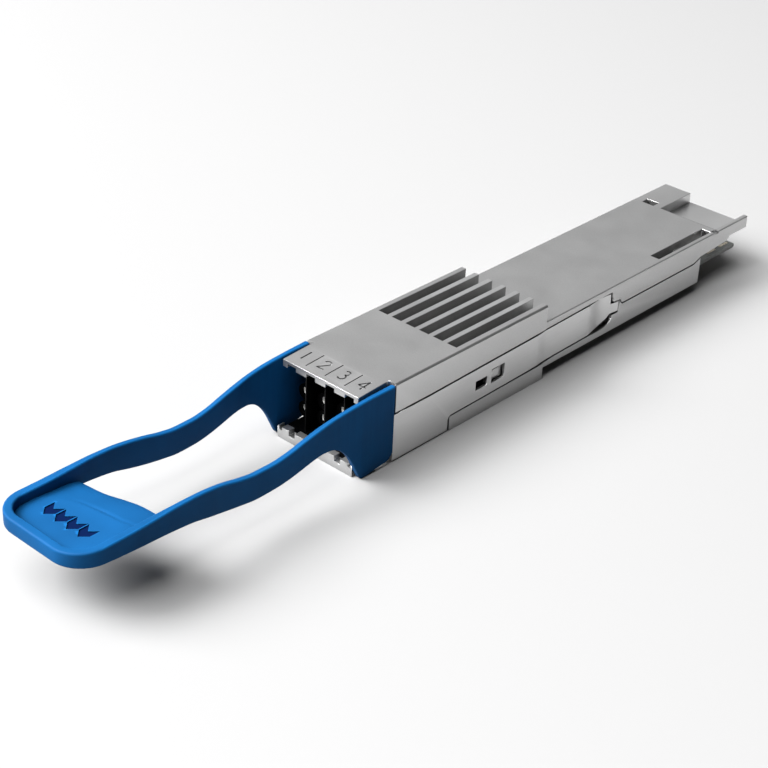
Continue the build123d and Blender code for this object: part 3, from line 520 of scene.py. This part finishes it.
# ---------------------------------------------------------------- pull tab
TAB_END = -53.2
TAB_CORNER = 4.9            # outer radius of the finger end's corners
CORNER_Y = TAB_END + TAB_CORNER
CORNER_STEPS = 16
RIM_WIDTH = 1.40
RIM_RADIUS_UNDER = 0.22
RIM_RADIUS_TOP = 0.34
RIM_END_RADIUS = 0.2
ARC_POINTS = 6              # points on each rounded corner of the rim's section
PLATE_REAR = 6.2
PLATE_FRONT = -9.0          # the side plates' curves need closer stations than the arms
tab_outer = curve_through([
    (6.2, 9.46), (2, 9.33), (-3, 9.24), (-6, 9.12), (-9, 9.02), (-12, 8.89), (-15, 8.78), (-21, 8.68),
    (-27, 8.66), (-30, 8.78), (-33, 8.92), (-36, 9.03), (-39, 9.12), (-43, 9.18), (-48.3, 9.18)])
tab_inner = curve_through([
    (6.2, 8.46), (0, 8.44), (-6, 8.28), (-9, 8.08), (-12, 7.98), (-15, 7.86), (-18, 7.74), (-24, 7.68),
    (-30, 7.86), (-33, 8.00), (-36, 8.02), (-40, 7.90), (-44, 7.80), (-48.3, 7.78)])
tab_top = curve_through([
    (6.2, 13.45), (2, 13.39), (0, 13.31), (-3, 13.12), (-6, 12.78), (-9, 12.17), (-12, 11.42), (-15, 10.62),
    (-18, 10.2), (-21, 10.17), (-24, 10.54), (-27, 11.2), (-30, 11.66), (-33, 11.9), (-36, 11.94),
    (-39, 11.84), (-45, 11.64), (-53.2, 11.57)])
tab_under = curve_through([
    (6.2, 1.75), (5.1, 0.78), (2.5, 0.36), (0.4, 0.06), (-0.25, 0.08), (-0.62, 0.35), (-0.95, 1.0),
    (-1.5, 2.1), (-2.3, 3.7), (-3.2, 5.15), (-4.36, 6.45), (-5.6, 7.35), (-7.0, 7.75), (-8.3, 7.78),
    (-9.6, 7.6), (-12, 6.98), (-15, 6.28), (-18, 5.93), (-21, 5.85), (-24, 6.19), (-27, 6.63), (-30, 7.2),
    (-33, 7.85), (-36, 8.2), (-39, 8.44), (-45, 8.75), (-50, 9.1), (-53.2, 9.25)])


def rim_section(outer, inner, low, high):
    """A rounded rectangle standing between two plan points, as a ring of 3-D points."""
    across = np.array(inner) - np.array(outer)
    width = float(np.linalg.norm(across))
    across /= width
    ring = []
    for corner_u, corner_z, radius, start in (
        (0.0, low, RIM_RADIUS_UNDER, 180.0), (width, low, RIM_RADIUS_UNDER, 270.0),
        (width, high, RIM_RADIUS_TOP, 0.0), (0.0, high, RIM_RADIUS_TOP, 90.0),
    ):
        radius = min(radius, width * 0.45, (high - low) * 0.45)
        centre_u = corner_u + (radius if corner_u == 0.0 else -radius)
        centre_z = corner_z + (radius if corner_z == low else -radius)
        for step in range(ARC_POINTS):
            angle = math.radians(start + 90.0 * step / (ARC_POINTS - 1))
            u = centre_u + radius * math.cos(angle)
            z = centre_z + radius * math.sin(angle)
            ring.append((outer[0] + across[0] * u, outer[1] + across[1] * u, z))
    return ring


def tab_stations():
    """Plan points (outer, inner) and y for heights, down the right arm, round the corner to the mid line."""
    ys = [*np.arange(PLATE_REAR, PLATE_FRONT, -0.2), *np.arange(PLATE_FRONT, CORNER_Y, -0.75), CORNER_Y]
    stations = [((tab_outer(y), y), (tab_inner(y), y), y) for y in ys]
    centre = (tab_outer(CORNER_Y) - TAB_CORNER, CORNER_Y)
    for step in range(1, CORNER_STEPS + 1):
        angle = math.radians(-90.0 * step / CORNER_STEPS)
        direction = np.array((math.cos(angle), math.sin(angle)))
        outer = np.array(centre) + TAB_CORNER * direction
        inner = np.array(centre) + (TAB_CORNER - RIM_WIDTH) * direction
        stations.append((tuple(outer), tuple(inner), outer[1]))
    for x in np.linspace(centre[0], 0.0, 7)[1:]:
        stations.append(((x, TAB_END), (x, TAB_END + RIM_WIDTH), TAB_END))
    return stations


def build_tab_rim():
    """The two side plates, the arms and the rim round the finger end, as one loft with softened ends."""
    rings = []
    for outer, inner, y in tab_stations():
        rings.append(rim_section(outer, inner, tab_under(y), tab_top(y)))
    mirrored = [[(-x, y, z) for x, y, z in ring] for ring in rings[-2::-1]]
    rim = loft("pull_tab_rim", rings + mirrored)
    bevel = rim.modifiers.new("end_radii", "BEVEL")
    bevel.width = RIM_END_RADIUS * MM
    bevel.segments = 2
    bevel.limit_method = "ANGLE"
    bevel.angle_limit = math.radians(60)
    apply_modifiers(rim)
    return rim


FLOOR_LEVEL = 10.1
FLOOR_HALF = 8.35
FLOOR_THICKNESS = 0.62
FLOOR_UNDER = 9.05          # the floor's underside is no higher than this
FLOOR_INSET = 0.55          # how far inside the rim's outer face the floor ends
GROOVE = (1.5, 6.5, 0.13)   # middle and half length along x, and depth, of the crease's soft groove
GROOVE_SHARE = 7            # the groove takes a seventh of the way from the crease to the rear edge
RAMP_FALL = 0.5
EDGE_FALL = 0.3             # further fall, nearly all of it close to the rear edge
floor_rear = curve_through([
    (-8.4, -39.3), (-7.69, -39.05), (-3.46, -38.5), (0.34, -37.35), (2.8, -36.75), (5.37, -36.6),
    (8.4, -37.4)])
floor_crease = curve_through([
    (-8.4, -46.6), (-5.56, -44.4), (-2.9, -43.0), (0.49, -42.3), (4.4, -41.8), (8.4, -40.6)])


def floor_height(x, y):
    """Top of the finger recess: flat, then past a soft crease it falls away to the wavy rear edge."""
    crease, rear = floor_crease(x), floor_rear(x)
    height = FLOOR_LEVEL
    if y > crease:
        share = (y - crease) / (rear - crease)
        middle, half, depth = GROOVE
        across = max(1 - ((x - middle) / half) ** 2, 0.0)
        groove = math.sin(math.pi * min(share * GROOVE_SHARE, 1.0)) * across
        height -= depth * groove + RAMP_FALL * share + EDGE_FALL * share ** 8
    return height


def build_tab_floor():
    """The thin floor of the finger end, its sides hidden inside the rim."""
    columns, rows = 49, 61
    top, under = [], []
    for i in range(columns):
        x = -FLOOR_HALF + 2 * FLOOR_HALF * i / (columns - 1)
        beyond = max(abs(x) - (tab_outer(CORNER_Y) - TAB_CORNER), 0.0)
        reach = TAB_CORNER - FLOOR_INSET
        front = CORNER_Y - math.sqrt(max(reach ** 2 - beyond ** 2, 0.05))
        rear = floor_rear(x)
        for j in range(rows):
            share = j / (rows - 1)
            y = front + (rear - front) * share
            z = floor_height(x, y)
            top.append((x, y, z))
            under.append((x, y, min(z - FLOOR_THICKNESS, FLOOR_UNDER)))
    count = columns * rows
    faces = []
    for i in range(columns - 1):
        for j in range(rows - 1):
            a, b, c, d = i * rows + j, (i + 1) * rows + j, (i + 1) * rows + j + 1, i * rows + j + 1
            faces.append((a, b, c, d))
            faces.append((count + d, count + c, count + b, count + a))
    border = [(i, 0) for i in range(columns)] + [(columns - 1, j) for j in range(1, rows)]
    border += [(i, rows - 1) for i in range(columns - 2, -1, -1)] + [(0, j) for j in range(rows - 2, 0, -1)]
    loop = [i * rows + j for i, j in border]
    for first, second in zip(loop, loop[1:] + loop[:1]):
        faces.append((first, first + count, second + count, second))
    return mesh_object("pull_tab_floor", top + under, faces)


CHEVRON_X = (-4.1, -1.7, 0.7, 3.1)
CHEVRON_Y = -46.3
CHEVRON_SIZE = (1.12, 1.15, 1.75)     # half width, length and stroke
POCKET_DEPTH = 0.3
INLAY_DEPTH = (0.32, 0.16)            # the inlays' underside and top, below the floor
INLAY_OVERLAP = 0.01                  # past the pocket's walls, so that no gap shows


def chevron_prism(name, x, low, high, grow=0.0):
    """An upright prism with a chevron's outline that points along the pull."""
    half, length, stroke = CHEVRON_SIZE
    half, stroke = half + grow, stroke + 2 * grow
    y = CHEVRON_Y - grow
    outline = [
        (x - half, y + length), (x - half, y + length - stroke), (x, y - stroke),
        (x + half, y + length - stroke), (x + half, y + length), (x, y)]
    count = len(outline)
    vertices = [(px, py, low) for px, py in outline] + [(px, py, high) for px, py in outline]
    faces = [tuple(range(count)), tuple(range(2 * count - 1, count - 1, -1))]
    faces += [(i, (i + 1) % count, count + (i + 1) % count, count + i) for i in range(count)]
    return mesh_object(name, vertices, faces)


tab_rim = build_tab_rim()
tab_floor = build_tab_floor()
for index, x in enumerate(CHEVRON_X):
    cut(tab_floor, chevron_prism("cutter", x, FLOOR_LEVEL - POCKET_DEPTH, FLOOR_LEVEL + 0.5))
    low, high = (FLOOR_LEVEL - depth for depth in INLAY_DEPTH)
    inlay = chevron_prism(f"pull_mark_{index + 1}", x, low, high, INLAY_OVERLAP)
    finish_piece(inlay, "latch", "blue_plastic")
    # the chevron inlays are dark navy: partly marking ink, partly painted shade inside the engraving
    inlay.data.materials[0] = NAVY_INK_AND_SHADE
finish_piece(tab_rim, "latch", "blue_plastic")
finish_piece(tab_floor, "latch", "blue_plastic", 28.0)
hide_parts("pull_tab")
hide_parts("pull_tab")


# ---------------------------------------------------------------- stage, light and camera
def area_light(name, place, aim, width, height, watts):
    """A rectangular soft box at a place, turned towards an aim."""
    data = bpy.data.lights.new(name, "AREA")
    data.shape = "RECTANGLE"
    data.size = width
    data.size_y = height
    data.energy = watts
    light = bpy.data.objects.new(name, data)
    light.location = place
    light.rotation_euler = (Vector(aim) - Vector(place)).to_track_quat("-Z", "Y").to_euler()
    bpy.context.scene.collection.objects.link(light)


STAGE_HALF = 4.0            # metres
STAGE_GAP = 0.00002         # between the stage and the lowest face, so that the two don't flicker
FLOOR_TONE = 0.20
WORLD_STRENGTH = 0.06
LIGHT_AIM = Vector((0, 0.02, 0))
# direction from the object, distance, width, height and watts of each soft box
SOFT_BOXES = {
    "key_front_left": (Vector((-0.542, -0.542, 0.643)), 1.40, 0.8, 0.8, 76.0),
    "high_front": (Vector((-0.15, -0.45, 0.88)), 1.35, 1.3, 1.3, 62.0),
    "wide_back_left": (Vector((-0.56, 0.63, 0.54)), 1.45, 2.0, 1.3, 3.6),
}


def make_stage():
    """A wide pale floor just under the object."""
    bm = bmesh.new()
    bmesh.ops.create_grid(bm, x_segments=1, y_segments=1, size=STAGE_HALF)
    mesh = bpy.data.meshes.new("floor")
    bm.to_mesh(mesh)
    bm.free()
    floor = bpy.data.objects.new("floor", mesh)
    floor.location = (0, 0, cad_low.z - STAGE_GAP)
    bpy.context.scene.collection.objects.link(floor)
    m = Shader("pale_floor", Roughness=0.9, Specular_IOR_Level=0.1)
    cloud = m.noise(0.5, 2.0, 0.5)
    m.colour(m.blend(cloud, [FLOOR_TONE * 0.985] * 3, [FLOOR_TONE * 1.015] * 3))
    mesh.materials.append(m.material)


def make_light():
    """Soft boxes around the object and a faint even fill."""
    world = bpy.data.worlds.new("studio")
    world.use_nodes = True
    background = world.node_tree.nodes["Background"]
    background.inputs["Color"].default_value = (0.96, 0.98, 1.0, 1.0)
    background.inputs["Strength"].default_value = WORLD_STRENGTH
    bpy.context.scene.world = world
    for name, (towards, distance, width, height, watts) in SOFT_BOXES.items():
        area_light(name, LIGHT_AIM + towards * distance, LIGHT_AIM, width, height, watts)


CAMERA_TURN_DEG = (41.686, 30.730, -2.577)      # azimuth, elevation and roll
CAMERA_PLACE = (0.16105, -0.16662, 0.15045)
CAMERA_LENS = 85.49                             # mm, on a sensor 36 mm wide


def make_camera():
    """Seen from the front right and above, with the long lens and slight tilt of a catalogue picture."""
    azimuth, elevation, roll = (math.radians(a) for a in CAMERA_TURN_DEG)
    level = math.cos(elevation)
    back = Vector((math.sin(azimuth) * level, -math.cos(azimuth) * level, math.sin(elevation)))
    right = Vector((math.cos(azimuth), math.sin(azimuth), 0))
    up = back.cross(right)
    right, up = (right * math.cos(roll) - up * math.sin(roll), right * math.sin(roll) + up * math.cos(roll))
    data = bpy.data.cameras.new("camera")
    data.sensor_width = 36.0
    data.lens = CAMERA_LENS
    data.clip_start = 0.01
    data.clip_end = 20.0
    camera = bpy.data.objects.new("camera", data)
    camera.matrix_world = Matrix((
        (right.x, up.x, back.x, CAMERA_PLACE[0]),
        (right.y, up.y, back.y, CAMERA_PLACE[1]),
        (right.z, up.z, back.z, CAMERA_PLACE[2]),
        (0, 0, 0, 1)))
    bpy.context.scene.collection.objects.link(camera)
    bpy.context.scene.camera = camera


make_stage()
make_light()
make_camera()
bpy.context.scene.view_settings.view_transform = "Standard"
